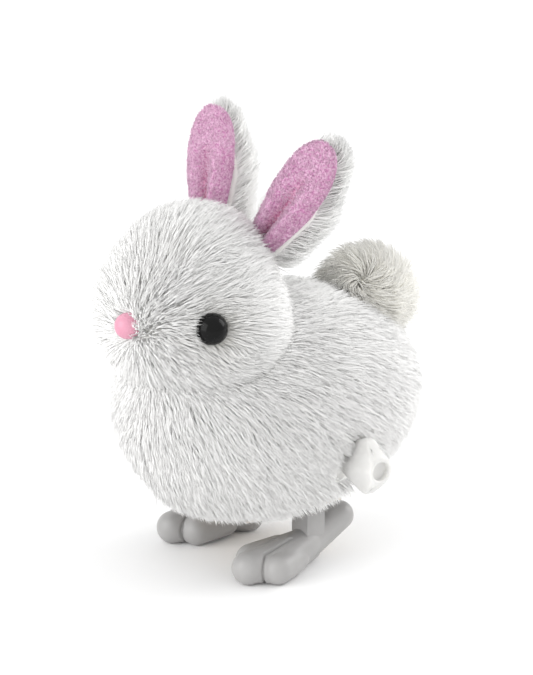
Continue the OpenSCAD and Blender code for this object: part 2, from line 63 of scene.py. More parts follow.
# %% Camera
CAMERA_AZIMUTH, CAMERA_RISE = math.radians(55), math.radians(17)
CAMERA_DISTANCE = 0.45
AIM = Vector((0, 0, 0.038))
towards_camera = Vector((math.sin(CAMERA_AZIMUTH) * math.cos(CAMERA_RISE),
                         -math.cos(CAMERA_AZIMUTH) * math.cos(CAMERA_RISE),
                         math.sin(CAMERA_RISE)))
camera = bpy.data.objects.new("camera", bpy.data.cameras.new("camera"))
bpy.context.scene.collection.objects.link(camera)
camera.location = AIM + towards_camera * CAMERA_DISTANCE
camera.rotation_mode = "QUATERNION"
camera.rotation_quaternion = (-towards_camera).to_track_quat("-Z", "Y")
camera.data.lens, camera.data.sensor_width = 127.2, 36
camera.data.shift_x, camera.data.shift_y = 0.0021, 0.0326
camera.data.clip_start, camera.data.clip_end = 0.01, 20
bpy.context.scene.camera = camera
print("camera", [round(v, 3) for v in camera.location])

# %% [markdown]
# ## Helpers for meshes
# A piece is a bmesh that is written into an object which rides on one of the CAD bodies. A soft form
# is several ellipsoids wrapped in one convex hull, which is how the CAD model makes it too. Two forms
# are welded into one skin with a voxel remesh, because that leaves even, small faces for smoothing.

# %% Mesh helpers
def make_piece(name, bm, material, body="root", smooth=True):
    mesh = bpy.data.meshes.new(name)
    bm.to_mesh(mesh)
    bm.free()
    piece = bpy.data.objects.new(name, mesh)
    bpy.context.scene.collection.objects.link(piece)
    mesh.materials.append(material)
    mesh.polygons.foreach_set("use_smooth", [smooth] * len(mesh.polygons))
    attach(piece, body)
    return piece


def place(at=(0, 0, 0), turn=(0, 0, 0)):
    """Moves to a point in millimetres after turning about X, then Y, then Z, in degrees."""
    x, y, z = (math.radians(v) for v in turn)
    return (Matrix.Translation(Vector(at) * MM) @ Matrix.Rotation(z, 4, "Z")
            @ Matrix.Rotation(y, 4, "Y") @ Matrix.Rotation(x, 4, "X"))


def stretch(semi):
    return Matrix.Diagonal((semi[0] * MM, semi[1] * MM, semi[2] * MM, 1))


def add_ellipsoid(bm, semi, where=Matrix(), segments=40):
    bmesh.ops.create_uvsphere(bm, u_segments=segments, v_segments=segments // 2, radius=1,
                              matrix=where @ stretch(semi))


def face_outwards(bm):
    """Turns a closed bmesh's faces outwards, which a mirror image needs."""
    bm.normal_update()
    bmesh.ops.recalc_face_normals(bm, faces=bm.faces)
    if bm.calc_volume(signed=True) < 0:
        bmesh.ops.reverse_faces(bm, faces=bm.faces)


def hull(parts, where=Matrix(), segments=40):
    """One closed skin stretched over ellipsoids, each given as (semi axes, middle) in millimetres."""
    bm = bmesh.new()
    for semi, middle in parts:
        add_ellipsoid(bm, semi, where @ place(middle), segments)
    made = bmesh.ops.convex_hull(bm, input=bm.verts)
    loose = {g for g in made["geom_interior"] + made["geom_unused"] if isinstance(g, bmesh.types.BMVert)}
    bmesh.ops.delete(bm, geom=list(loose), context="VERTS")
    bmesh.ops.recalc_face_normals(bm, faces=bm.faces)
    return bm


def evaluated(piece):
    """The piece's mesh with its modifiers applied, and the modifiers taken off."""
    graph = bpy.context.evaluated_depsgraph_get()
    mesh = bpy.data.meshes.new_from_object(piece.evaluated_get(graph))
    piece.modifiers.clear()
    piece.data = mesh
    return piece


def weld(bms, voxel, smoothing):
    """Several closed bmeshes as one smooth skin."""
    joined = bmesh.new()
    for bm in bms:
        loose = bpy.data.meshes.new("loose")
        bm.to_mesh(loose)
        bm.free()
        joined.from_mesh(loose)
        bpy.data.meshes.remove(loose)
    mesh = bpy.data.meshes.new("weld")
    joined.to_mesh(mesh)
    joined.free()
    welded = bpy.data.objects.new("weld", mesh)
    bpy.context.scene.collection.objects.link(welded)
    remesh = welded.modifiers.new("voxels", "REMESH")
    remesh.mode, remesh.voxel_size = "VOXEL", voxel * MM
    evaluated(welded)
    bm = bmesh.new()
    bm.from_mesh(welded.data)
    bpy.data.objects.remove(welded)
    for _ in range(smoothing):
        bmesh.ops.smooth_vert(bm, verts=bm.verts, factor=0.5, use_axis_x=True, use_axis_y=True,
                              use_axis_z=True)
    return bm


# %% [markdown]
# ## Materials
# Each finish is one Principled shader fed by small procedural patterns. A plush strand is a matt
# white fibre with a faint sheen. Its colour varies from strand to strand and from root to tip: the
# fur meshes carry a number called tone for that, and the shader turns it into a colour. Round the
# eyes the tone is lowered as painted shade, and the lowest tone is a darker, warmer white.

# %% Material helpers
def new_material(name, colour, roughness, **sockets):
    material = bpy.data.materials.new(name)
    material.use_nodes = True
    shader = material.node_tree.nodes["Principled BSDF"]
    shader.inputs["Base Color"].default_value = (*colour, 1)
    shader.inputs["Roughness"].default_value = roughness
    for socket, value in sockets.items():
        shader.inputs[socket.replace("_", " ")].default_value = value
    material.diffuse_color = (*colour, 1)
    return material


def add_node(material, kind, **settings):
    node = material.node_tree.nodes.new("ShaderNode" + kind)
    for key, value in settings.items():
        if key in node.inputs:
            node.inputs[key].default_value = value
        else:
            setattr(node, key, value)
    return node


def link(material, source, target):
    material.node_tree.links.new(source, target)


def shader_of(material):
    return material.node_tree.nodes["Principled BSDF"]


def object_noise(material, scale, detail=3.0, kind="TexNoise"):
    """A pattern fixed to the piece, with about scale features per metre."""
    where = add_node(material, "TexCoord")
    pattern = add_node(material, kind, Scale=scale)
    if kind == "TexNoise":
        pattern.inputs["Detail"].default_value = detail
    link(material, where.outputs["Object"], pattern.inputs["Vector"])
    return pattern


def two_tones(material, value, dark, light, low=0.3, high=0.7):
    """Colours the material from dark to light by a value."""
    ramp = add_node(material, "ValToRGB")
    ramp.color_ramp.elements[0].position, ramp.color_ramp.elements[1].position = low, high
    ramp.color_ramp.elements[0].color = (*dark, 1)
    ramp.color_ramp.elements[1].color = (*light, 1)
    link(material, value, ramp.inputs["Fac"])
    link(material, ramp.outputs["Color"], shader_of(material).inputs["Base Color"])
    return ramp


def add_bump(material, height, strength, depth):
    bump = add_node(material, "Bump", Strength=strength, Distance=depth * MM)
    link(material, height, bump.inputs["Height"])
    link(material, bump.outputs["Normal"], shader_of(material).inputs["Normal"])
    return bump


def fur_material(name, dark, light):
    material = new_material(name, light, 0.8, Sheen_Weight=0.1, Sheen_Roughness=0.5,
                            Specular_IOR_Level=0.2)
    tone = add_node(material, "Attribute", attribute_name="tone")
    ramp = two_tones(material, tone.outputs["Fac"], dark, light, 0.35, 1.0)
    # The lowest stop is painted shade: a darker, warmer white for pile in deep shade round the eyes.
    deep = ramp.color_ramp.elements.new(0.0)
    deep.color = (dark[0] * 0.62, dark[1] * 0.60, dark[2] * 0.54, 1)
    return material


def cloth_material(name, dark, light, threads, depth):
    """Woven or felted cloth: fine threads in the bump, soft blotches in the colour."""
    material = new_material(name, light, 0.9, Sheen_Weight=0.3, Sheen_Roughness=0.6)
    two_tones(material, object_noise(material, 220).outputs["Fac"], dark, light)
    add_bump(material, object_noise(material, threads, 2).outputs["Fac"], 0.5, depth)
    return material


def moulded_material(name, dark, light, roughness, **sockets):
    """Moulded plastic: almost one colour, with a faint orange-peel surface."""
    material = new_material(name, light, roughness, **sockets)
    two_tones(material, object_noise(material, 160).outputs["Fac"], dark, light)
    add_bump(material, object_noise(material, 2600, 2).outputs["Fac"], 0.12, 0.05)
    return material


def steel_material(name, dark, light, roughness):
    material = new_material(name, light, roughness, Metallic=1.0)
    two_tones(material, object_noise(material, 900).outputs["Fac"], dark, light)
    add_bump(material, object_noise(material, 6000, 1).outputs["Fac"], 0.15, 0.03)
    return material


WHITE_FUR = fur_material("white fur", (0.95, 0.945, 0.925), (0.99, 0.988, 0.98))
CREAM_FUR = fur_material("cream fur", (0.93, 0.91, 0.84), (0.985, 0.975, 0.94))
BACKING = cloth_material("plush backing", (0.88, 0.87, 0.83), (0.95, 0.945, 0.92), 1800, 0.2)
CREAM_BACKING = cloth_material("tail backing", (0.86, 0.82, 0.71), (0.92, 0.89, 0.81), 1800, 0.2)
# Painted shade: the belly cloth's warm beige is partly the shade of the hollow under the body.
BELLY_CLOTH_AND_SHADE = cloth_material("belly cloth", (0.72, 0.62, 0.50), (0.86, 0.78, 0.68), 2600, 0.15)
STUFFING = cloth_material("stuffing fibre", (0.86, 0.86, 0.84), (0.96, 0.96, 0.95), 900, 0.5)
FOOT_GREY = moulded_material("grey foot plastic", (0.345, 0.338, 0.334), (0.39, 0.383, 0.378), 0.4)
CASE_WHITE = moulded_material("white motor plastic", (0.80, 0.80, 0.78), (0.88, 0.88, 0.86), 0.4)
GEAR_IVORY = moulded_material("ivory gear plastic", (0.78, 0.74, 0.63), (0.88, 0.85, 0.76), 0.4)
KNOB_MILKY = moulded_material("milky knob plastic", (0.66, 0.655, 0.64), (0.73, 0.725, 0.71), 0.3,
                              Subsurface_Weight=0.5, Subsurface_Scale=0.0015,
                              Subsurface_Radius=(1.0, 1.0, 0.95))
EYE_BLACK = moulded_material("black bead", (0.003, 0.003, 0.003), (0.006, 0.006, 0.006), 0.12,
                             Specular_IOR_Level=0.12, Coat_Weight=0.04, Coat_Roughness=0.04)
NOSE_PINK = moulded_material("pink bead", (0.61, 0.25, 0.35), (0.69, 0.32, 0.42), 0.34)
STEEL = steel_material("bright steel", (0.42, 0.43, 0.45), (0.62, 0.63, 0.65), 0.3)
SPRING_STEEL = steel_material("blued spring steel", (0.16, 0.17, 0.21), (0.30, 0.31, 0.36), 0.35)
print("materials", len(bpy.data.materials))

# %% [markdown]
# ## Ear velour
# The ears are lined with a looped pink velour. A cell pattern about a third of a millimetre wide
# gives each loop a light top and a darker gap, which is painted shade between the loops, and the
# same pattern lifts the surface. A number stored on the lining, called fold, is 1 in the bottom of
# its crease and darkens the colour there to a deeper red, as painted shade.

# %% Velour material
def velour_material():
    material = new_material("pink velour", (0.78, 0.42, 0.62), 0.85, Sheen_Weight=0.4,
                            Sheen_Roughness=0.4)
    loops = object_noise(material, 2000, kind="TexVoronoi")
    blotches = object_noise(material, 260)
    mixed = add_node(material, "Math", operation="MULTIPLY_ADD")
    link(material, blotches.outputs["Fac"], mixed.inputs[0])
    mixed.inputs[1].default_value = 0.5
    link(material, loops.outputs["Distance"], mixed.inputs[2])
    # Painted shade between loops: the colour darkens from each loop's top into its gap.
    ramp = two_tones(material, mixed.outputs[0], (0.82, 0.56, 0.72), (0.47, 0.19, 0.36), 0.25, 1.0)
    fold = add_node(material, "Attribute", attribute_name="fold")
    # Painted shade in the crease: where fold is 1 the colour is multiplied to a darker red.
    crease_shade = add_node(material, "Mix", data_type="RGBA", blend_type="MULTIPLY")
    link(material, fold.outputs["Fac"], crease_shade.inputs["Factor"])
    link(material, ramp.outputs["Color"], crease_shade.inputs["A"])
    crease_shade.inputs["B"].default_value = (0.92, 0.50, 0.55, 1)
    link(material, crease_shade.outputs["Result"], shader_of(material).inputs["Base Color"])
    bump = add_bump(material, loops.outputs["Distance"], 0.8, 0.25)
    bump.invert = True
    return material


VELOUR = velour_material()
PILE_PINK = fur_material("pink pile", (0.50, 0.21, 0.38), (0.88, 0.62, 0.77))

# %% [markdown]
# ## Where the beads sit
# The eyes and the nose are beads sunk into the plush. Their middles are found from the CAD nodes:
# each bead is the part of its node that lies furthest from the middle of the head.

# %% Bead places
IN_HEAD = place((0, -16.8, 51.3), (0, 6, 11))
HEAD_MIDDLE = IN_HEAD @ Vector((0, 0, -2 * MM))
EYE_R, NOSE_R = 2.9 * MM, 2.4 * MM


def bead_middle(node, radius):
    far = max((v.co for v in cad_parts[node].data.vertices),
              key=lambda co: (co - HEAD_MIDDLE).length)
    low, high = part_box(node)
    outwards = (far - (low + high) / 2).normalized()
    return far - outwards * radius, outwards


LEFT_EYE_AT, LEFT_EYE_OUT = bead_middle("left_eye", EYE_R)
RIGHT_EYE_AT, RIGHT_EYE_OUT = bead_middle("right_eye", EYE_R)
NOSE_AT, NOSE_OUT = bead_middle("nose", NOSE_R)
print("eye at", [round(v / MM, 2) for v in LEFT_EYE_AT], "nose at", [round(v / MM, 2) for v in NOSE_AT])

# %% [markdown]
# ## The plush skin
# Under the pile is the backing cloth, pulled tight over the stuffing. It lies a pile's height below
# the fur's outline, so each form is the CAD model's form made smaller all round. Body and head are
# welded into one skin and smoothed, so that the neck is a soft fold and not a sharp line. The beads'
# threads pull the skin in, so it gets a shallow socket round each bead.

# %% Body and head skin
PILE = 2.1
BODY_FORMS = [((24, 31.5, 22), (0, 0.7, 30.8)), ((16, 13.9, 13.2), (0, -16.9, 37)),
              ((17.6, 21, 5.6), (0, -1, 14.4))]
HEAD_FORMS = [((20, 17, 15), (0, 0, -2)), ((15.6, 15, 15.5), (0, 1, 3.5))]


def shrunk(forms, by):
    return [([s - by for s in semi], middle) for semi, middle in forms]


VOXEL, SMOOTHING = 0.8, 12
SOCKETS = ((LEFT_EYE_AT, 1.5, 4.4), (RIGHT_EYE_AT, 1.0, 4.4), (NOSE_AT, 0.5, 3.2))
skin_bm = weld([hull(shrunk(BODY_FORMS, PILE)), hull(shrunk(HEAD_FORMS, PILE), IN_HEAD)],
               VOXEL, SMOOTHING)
for v in skin_bm.verts:
    for middle, depth, reach in SOCKETS:
        share = math.exp(-((v.co - middle).length / (reach * MM)) ** 2)
        v.co += (HEAD_MIDDLE - middle).normalized() * depth * MM * share
print("skin faces", len(skin_bm.faces))

# %% [markdown]
# The legs hang in two open rooms under the body, so the skin is cut there. A Boolean with plain
# blocks does that well, and it leaves the skin closed.

# %% Rooms for the legs and the knob
LEG_ROOM_LOW, LEG_ROOM_HIGH = Vector((8.0, -3.3, -1)), Vector((15.4, 15.5, 17.8))
KNOB_ROOM_R, KNOB_ROOM_DEPTH, KNOB_ROOM_X = 5.5, 20, 26.6
arbor_low, arbor_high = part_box("winding_arbor")
ARBOR = (arbor_low + arbor_high) / 2 / MM
cutters = bmesh.new()
for side in (-1, 1):
    middle = (LEG_ROOM_LOW + LEG_ROOM_HIGH) / 2
    size = LEG_ROOM_HIGH - LEG_ROOM_LOW
    bmesh.ops.create_cube(cutters, size=1, matrix=place((side * middle.x, middle.y, middle.z))
                          @ stretch(size))
bmesh.ops.create_cone(cutters, cap_ends=True, segments=48, radius1=KNOB_ROOM_R * MM,
                      radius2=KNOB_ROOM_R * MM, depth=KNOB_ROOM_DEPTH * MM,
                      matrix=place((KNOB_ROOM_X, ARBOR.y, ARBOR.z), (0, 90, 0)))
bmesh.ops.recalc_face_normals(cutters, faces=cutters.faces)
cutter = make_piece("cutter", cutters, BACKING)
cover = make_piece("plush_cover", skin_bm, BACKING)
SKIN_TREE = BVHTree.FromPolygons([v.co for v in cover.data.vertices],
                                 [p.vertices for p in cover.data.polygons])
cut = cover.modifiers.new("rooms", "BOOLEAN")
cut.operation, cut.solver, cut.object = "DIFFERENCE", "EXACT", cutter
evaluated(cover)
bpy.data.objects.remove(cutter)
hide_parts("cover_left", "cover_right")
print("cover faces", len(cover.data.polygons))

# %% [markdown]
# ## One strand of fur
# A strand is a three-sided spike. It starts as a cone and is cut into short lengths with bisect, so
# that it can bend. Thousands of copies of it make the fur: each copy gets a root on the skin, a
# direction to lie in, a length and a height, and its corners are moved to follow that curve.

# %% The strand
def strand_shape(cuts):
    bm = bmesh.new()
    bmesh.ops.create_cone(bm, cap_ends=True, segments=3, radius1=1, radius2=0, depth=1,
                          matrix=Matrix.Translation((0, 0, 0.5)))
    bmesh.ops.remove_doubles(bm, verts=bm.verts, dist=1e-4)
    for height in cuts:
        bmesh.ops.bisect_plane(bm, geom=bm.verts[:] + bm.edges[:] + bm.faces[:],
                               plane_co=(0, 0, height), plane_no=(0, 0, 1))
    bmesh.ops.triangulate(bm, faces=bm.faces)
    bmesh.ops.recalc_face_normals(bm, faces=bm.faces)
    corners = np.array([v.co for v in bm.verts])
    faces = np.array([[v.index for v in f.verts] for f in bm.faces])
    bm.free()
    around = np.hypot(corners[:, 0], corners[:, 1])
    corners[:, :2] /= np.where(around < 1e-6, 1, around)[:, None]
    corners[around < 1e-6, :2] = 0
    return corners, faces


SHORT_STRAND = strand_shape([])
STRAND = strand_shape([0.55])
LONG_STRAND = strand_shape([0.35, 0.7])
print("strand faces", len(SHORT_STRAND[1]), len(STRAND[1]), len(LONG_STRAND[1]))


# %% [markdown]
# ## Growing the fur
# Roots are scattered evenly over a skin. Combing is a direction field: at each root the field's arrow
# is laid flat on the skin. Real pile also parts into small tufts, so the strands lean towards the
# middle of their tuft, and each has a little disorder of its own. Light passes through thin white
# fibres, so a strand never looks as dark on its shaded side as a solid spike would. The strands
# therefore borrow most of their shading normal from the skin below them. The ears and the tail are
# lit from all round, so theirs borrow less.

# %% Scatter, comb and grow
def unit(v):
    return v / np.maximum(np.linalg.norm(v, axis=-1, keepdims=True), 1e-12)


def flat_on(v, normal):
    return v - (v * normal).sum(-1, keepdims=True) * normal


def from_lowest(ring):
    """A face's corner numbers, starting at the lowest and going on to its lower neighbour."""
    start = ring.index(min(ring))
    ring = ring[start:] + ring[:start]
    return ring if ring[1] < ring[-1] else ring[:1] + ring[:0:-1]


def scatter(mesh, count, rng):
    """Random points on a mesh, in metres, with smooth normals. Corners and faces are first put in
    order of place, so that the points come out the same however the mesh numbers them."""
    corners = np.empty(len(mesh.vertices) * 3)
    mesh.vertices.foreach_get("co", corners)
    corners = corners.reshape(-1, 3)
    normals = np.empty(len(mesh.vertices) * 3)
    mesh.vertices.foreach_get("normal", normals)
    normals = normals.reshape(-1, 3)
    by_place = np.lexsort(np.round(corners / MM, 3).T)
    number = np.empty(len(corners), np.int64)
    number[by_place] = np.arange(len(corners))
    corners, normals = corners[by_place], normals[by_place]
    rings = sorted(from_lowest(number[list(p.vertices)].tolist()) for p in mesh.polygons)
    tris = np.array([(r[0], r[i], r[i + 1]) for r in rings for i in range(1, len(r) - 1)])
    a, b, c = (corners[tris[:, i]] for i in range(3))
    area = np.linalg.norm(np.cross(b - a, c - a), axis=1)
    chosen = rng.choice(len(tris), count, p=area / area.sum())
    u, v = rng.random(count), rng.random(count)
    over = u + v > 1
    u[over], v[over] = 1 - u[over], 1 - v[over]
    share = np.stack([1 - u - v, u, v], 1)[:, :, None]
    return (corners[tris[chosen]] * share).sum(1), unit((normals[tris[chosen]] * share).sum(1))


def ripple(points, size, seed):
    """A smooth, wandering direction for each point; size is the width of its waves in metres."""
    waves = np.random.default_rng(seed)
    field = np.zeros_like(points)
    for _ in range(7):
        way = unit(waves.normal(size=3)) * 2 * math.pi / size * waves.uniform(0.6, 1.7)
        field += waves.normal(size=3) * np.sin(points @ way + waves.uniform(0, 6.28))[:, None]
    return field / 2.6


def tufts(points, size, rng):
    """For each point, the arrow to the middle of its tuft, in tuft sizes."""
    wanted = max(8, int(len(points) * 0.02))
    middles = points[rng.choice(len(points), min(wanted, len(points)), replace=False)]
    tree = KDTree(len(middles))
    for i, m in enumerate(middles):
        tree.insert(m, i)
    tree.balance()
    near = np.array([tree.find(p)[0][:] for p in points])
    return (near - points) / size


SOFT_SHADING = 0.86


def grow(name, roots, normals, comb, length, lift, width, material, shape=STRAND, seed=1,
         curl=0.0, painted_lightness=1.0, soft=SOFT_SHADING):
    """One mesh of strands. length, lift and width are per strand or one number, in millimetres
    and shares; curl bends each strand sideways; the argument after curl is painted shade, 1 where the
    pile is lit and falling to 0 where it is in deep shade; soft is how far a strand is lit as its skin
    is, from 0 to 1."""
    rng = np.random.default_rng(seed)
    count = len(roots)
    corners, faces = shape
    length = np.broadcast_to(length, count)[:, None, None] * MM
    lift = np.broadcast_to(lift, count)[:, None, None]
    width = np.broadcast_to(width, count)[:, None, None] * MM
    comb = unit(flat_on(comb, normals))
    across = np.cross(normals, comb)
    s = corners[:, 2][None, :, None]
    rise, reach = lift * (1.6 * s - 0.6 * s * s), np.sqrt(1 - lift ** 2) * (0.45 * s + 0.55 * s * s)
    sway = curl * s * s
    path = length * (rise * normals[:, None] + reach * comb[:, None] + sway * across[:, None])
    slope = unit(lift * (1.6 - 1.2 * s) * normals[:, None]
                 + np.sqrt(1 - lift ** 2) * (0.45 + 1.1 * s) * comb[:, None]
                 + 2 * curl * s * across[:, None])
    side = unit(np.cross(slope, normals[:, None]))
    up = np.cross(slope, side)
    taper = (1 - s ** 2.2)
    turn = rng.uniform(0, 2 * math.pi, count)[:, None, None]
    x, y = corners[:, 0][None, :, None], corners[:, 1][None, :, None]
    x, y = x * np.cos(turn) - y * np.sin(turn), x * np.sin(turn) + y * np.cos(turn)
    points = roots[:, None] + path + width / 2 * taper * (x * side + y * up)
    mesh = bpy.data.meshes.new(name)
    numbers = (faces[None] + (np.arange(count) * len(corners))[:, None, None]).reshape(-1, 3)
    mesh.from_pydata(points.reshape(-1, 3), [], numbers.tolist())
    mesh.polygons.foreach_set("use_smooth", [True] * len(mesh.polygons))
    round_normals = x * side + y * up + (0.2 + s) * 0.3 * slope
    lit_as = unit(soft * normals[:, None] + (1 - soft) * unit(round_normals))
    mesh.normals_split_custom_set_from_vertices(lit_as.reshape(-1, 3).tolist())
    tone = np.repeat(rng.random(count), len(corners))
    along = np.tile(corners[:, 2], count)
    # Painted shade: the tone is scaled down where the pile lies in deep shade.
    tone = (0.4 + 0.4 * tone + 0.2 * along) * np.repeat(np.broadcast_to(painted_lightness, count), len(corners))
    mesh.attributes.new("tone", "FLOAT", "POINT").data.foreach_set("value", tone)
    mesh.materials.append(material)
    piece = bpy.data.objects.new(name, mesh)
    bpy.context.scene.collection.objects.link(piece)
    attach(piece, "root")
    print(name, count, "strands,", len(numbers), "faces")
    return piece


# %% [markdown]
# ## Eyes and nose
# A bead is a glossy ball with a short stem that goes into the head.

# %% Beads
STEM_R, STEM_LENGTH, STEM_BACK = 0.7 * MM, 4 * MM, 3.2 * MM


def add_bead(name, node, middle, outwards, radius, material):
    turn = outwards.to_track_quat("Z", "Y").to_matrix().to_4x4()
    bm = bmesh.new()
    bmesh.ops.create_uvsphere(bm, u_segments=48, v_segments=32, radius=radius,
                              matrix=Matrix.Translation(middle) @ turn)
    bmesh.ops.create_cone(bm, cap_ends=True, segments=16, radius1=STEM_R, radius2=STEM_R,
                          depth=STEM_LENGTH,
                          matrix=Matrix.Translation(middle - outwards * STEM_BACK) @ turn)
    piece = make_piece(name, bm, material)
    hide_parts(node)


add_bead("left_eye_bead", "left_eye", LEFT_EYE_AT, LEFT_EYE_OUT, EYE_R, EYE_BLACK)
add_bead("right_eye_bead", "right_eye", RIGHT_EYE_AT, RIGHT_EYE_OUT, EYE_R, EYE_BLACK)
add_bead("nose_bead", "nose", NOSE_AT, NOSE_OUT, NOSE_R, NOSE_PINK)

# %% [markdown]
# ## Ears
# An ear is a flat, pointed paddle of fur fabric with a velour lining sewn to its front. Both are made
# once in the ear's own space, where Z runs along the ear and -Y is its front, and then placed on the
# head, the right one as a mirror image.

# %% Ear space
IN_EAR = place((7, 11.5, 12.3), (-19, 23, 0)) @ place((0, 0, 0), (0, 0, -6))
MIRROR = Matrix.Diagonal((-1, 1, 1, 1))
EARS = {"left": IN_HEAD @ IN_EAR, "right": IN_HEAD @ MIRROR @ IN_EAR}
EAR_BACK_FORMS = [((3.1, 1.6, 4.2), (0, 0.9, -1)), ((5.2, 1.9, 5.6), (0, 1.1, 9.0)),
                  ((3.2, 1.5, 3.4), (0, 0.7, 17.3))]

EAR_VOXEL, EAR_SMOOTHING = 0.4, 2


def lining_half(z):
    """Half the lining's width at a height along the ear, in millimetres."""
    tip = max(0.0, (z - 13.2) / 8.7)
    return 5.8 * math.sqrt(max(0.0, 1 - tip ** 2.1)) * (1 - 0.4 * max(0.0, 1 - z / 10) ** 1.3)


def ear_lining(name, where):
    """A grid pulled to the ear's outline, cupped, with a fold that rises from its root."""
    bm = bmesh.new()
    deep = bm.verts.layers.float.new("fold")
    bmesh.ops.create_grid(bm, x_segments=36, y_segments=60, size=1)
    for v in bm.verts:
        u, t = v.co.x, (v.co.y + 1) / 2
        z = -2.5 + 24.3 * t
        half = lining_half(z)
        fold = math.exp(-((u - 0.05) / 0.17) ** 2) * max(0.0, 1 - max(z, 0) / 14.5) ** 0.6
        ridge = math.exp(-((abs(u - 0.05) - 0.46) / 0.27) ** 2) * max(0.0, 1 - max(z, 0) / 19)
        y = -1.8 + 0.9 * fold - 1.7 * ridge - 0.5 * u * u + 1.5 * u ** 6
        v.co = Vector((u * half, y, z)) * MM
        v[deep] = fold
    bmesh.ops.remove_doubles(bm, verts=bm.verts, dist=1e-5)
    bmesh.ops.recalc_face_normals(bm, faces=bm.faces)
    if sum((f.normal.y for f in bm.faces)) > 0:
        bmesh.ops.reverse_faces(bm, faces=bm.faces)
    bmesh.ops.solidify(bm, geom=bm.faces[:], thickness=0.8 * MM)
    bm.transform(where)
    face_outwards(bm)
    return make_piece(name, bm, VELOUR)


linings = {}
for side, where in EARS.items():
    backing = weld([hull(EAR_BACK_FORMS, segments=28)], EAR_VOXEL, EAR_SMOOTHING)
    backing.transform(where)
    face_outwards(backing)
    back = make_piece(side + "_ear_skin", backing, BACKING)
    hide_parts(side + "_ear_back")
    linings[side] = ear_lining(side + "_ear_velour", where)
    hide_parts(side + "_ear_lining")

# %% [markdown]
# ## Fur on the body and head
# The pile is brushed from the nose backwards over the head, and back and down over the body. It is
# shorter round the eyes and nose, so that the beads look pressed in, and it is left out where the
# legs, the knob, the belly patch and the ears come through. These bare places are boxes and rounds,
# in millimetres, with a narrow hem round the rooms for the legs.

# %% Combing fields
def near(points, at, radius):
    """1 at a point, falling to 0 at radius."""
    return np.clip(1 - np.linalg.norm(points - np.array(at), axis=1) / radius, 0, 1)


def in_space(points, where):
    inverse = np.array(where.inverted())
    return (points @ inverse[:3, :3].T + inverse[:3, 3]) / MM


COAT = 1.0
COAT_STRANDS = 124000
HEM = Vector((0.3, 0.3, 0.2))
FLANK_X = 10
PATCH_LOW, PATCH_HIGH = Vector((-8.4, -9.9, 0)), Vector((8.4, 12.2, 14))
EAR_ROOT_W, EAR_ROOT_T, EAR_ROOT_DEPTH = 5.2, 2.4, 4
BEAD_SHARE = 0.8
HEAD_FUR_SEMI = np.array([20, 17.5, 18]) * 1.02


def in_box(points, low, high):
    return ((points > np.array(low)) & (points < np.array(high))).all(axis=1)


rng = np.random.default_rng(11)
roots, normals = scatter(cover.data, int(COAT_STRANDS * COAT), rng)
mm = roots / MM
outwards_mm = np.column_stack([np.abs(mm[:, 0]), mm[:, 1:]])
deep = np.array([SKIN_TREE.find_nearest(p)[3] or 0 for p in roots]) > 0.15 * MM
knob = (mm[:, 0] > FLANK_X) & (np.hypot(mm[:, 1] - ARBOR.y, mm[:, 2] - ARBOR.z) < KNOB_ROOM_R + 0.1)
room = in_box(outwards_mm, LEG_ROOM_LOW - HEM, LEG_ROOM_HIGH + HEM)
bare = deep | knob | room | in_box(mm, PATCH_LOW, PATCH_HIGH)
for middle, outwards, radius in ((LEFT_EYE_AT, LEFT_EYE_OUT, EYE_R), (NOSE_AT, NOSE_OUT, NOSE_R),
                                 (RIGHT_EYE_AT, RIGHT_EYE_OUT, EYE_R)):
    aside = np.linalg.norm(flat_on(roots - np.array(middle), np.array(outwards)), axis=1)
    bare |= (aside < radius * BEAD_SHARE) & (near(roots, middle, 9 * MM) > 0)
for where in EARS.values():
    e = in_space(roots, where)
    bare |= (np.abs(e[:, 0]) < EAR_ROOT_W) & (np.abs(e[:, 1]) < EAR_ROOT_T) & (e[:, 2] > -EAR_ROOT_DEPTH)
roots, normals, mm = roots[~bare], normals[~bare], mm[~bare]
on_head = np.linalg.norm(in_space(roots, IN_HEAD) / HEAD_FUR_SEMI, axis=1) < 1
print("coat strands", len(roots), "of which on the head", int(on_head.sum()))

# %% Combing the coat
comb_head = unit(roots - np.array(NOSE_AT)) + np.array([0, 0.25, -0.1]) \
    + near(roots, NOSE_AT, 8 * MM)[:, None] * np.array([-0.5, 0.9, 1.1])
comb_body = np.array([0, 0.8, -0.75]) + 0.25 * unit(roots - np.array([0, 0, 0.03]))
comb = np.where(on_head[:, None], comb_head, comb_body)
under = np.clip((17 - mm[:, 2]) / 6, 0, 1)[:, None]
comb = comb * (1 - under) + under * (np.array([0, 0.1, -1.0]) + 0.4 * unit(mm * [1, 1, 0]))
for middle in (LEFT_EYE_AT, RIGHT_EYE_AT):
    comb = comb + 1.4 * near(roots, middle, 6.5 * MM)[:, None] * unit(roots - np.array(middle))
tousled = near(roots, LEFT_EYE_AT + Vector((0, 8, 6)) * MM, 14 * MM)[:, None]
comb = unit(comb) + 0.09 * tufts(roots, 1.2 * MM, rng) \
    + (0.16 + 0.3 * tousled) * ripple(roots, 11 * MM, 5) \
    + 0.08 * ripple(roots, 3 * MM, 6) + 0.11 * rng.normal(size=roots.shape)
short = np.maximum(near(roots, LEFT_EYE_AT, 6 * MM), 0.5 * near(roots, RIGHT_EYE_AT, 6 * MM))
short = np.maximum(short, 0.75 * near(roots, NOSE_AT, 5 * MM))
round_beads = np.maximum(near(roots, NOSE_AT, 5.5 * MM), 0.8 * near(roots, LEFT_EYE_AT, 6.5 * MM))
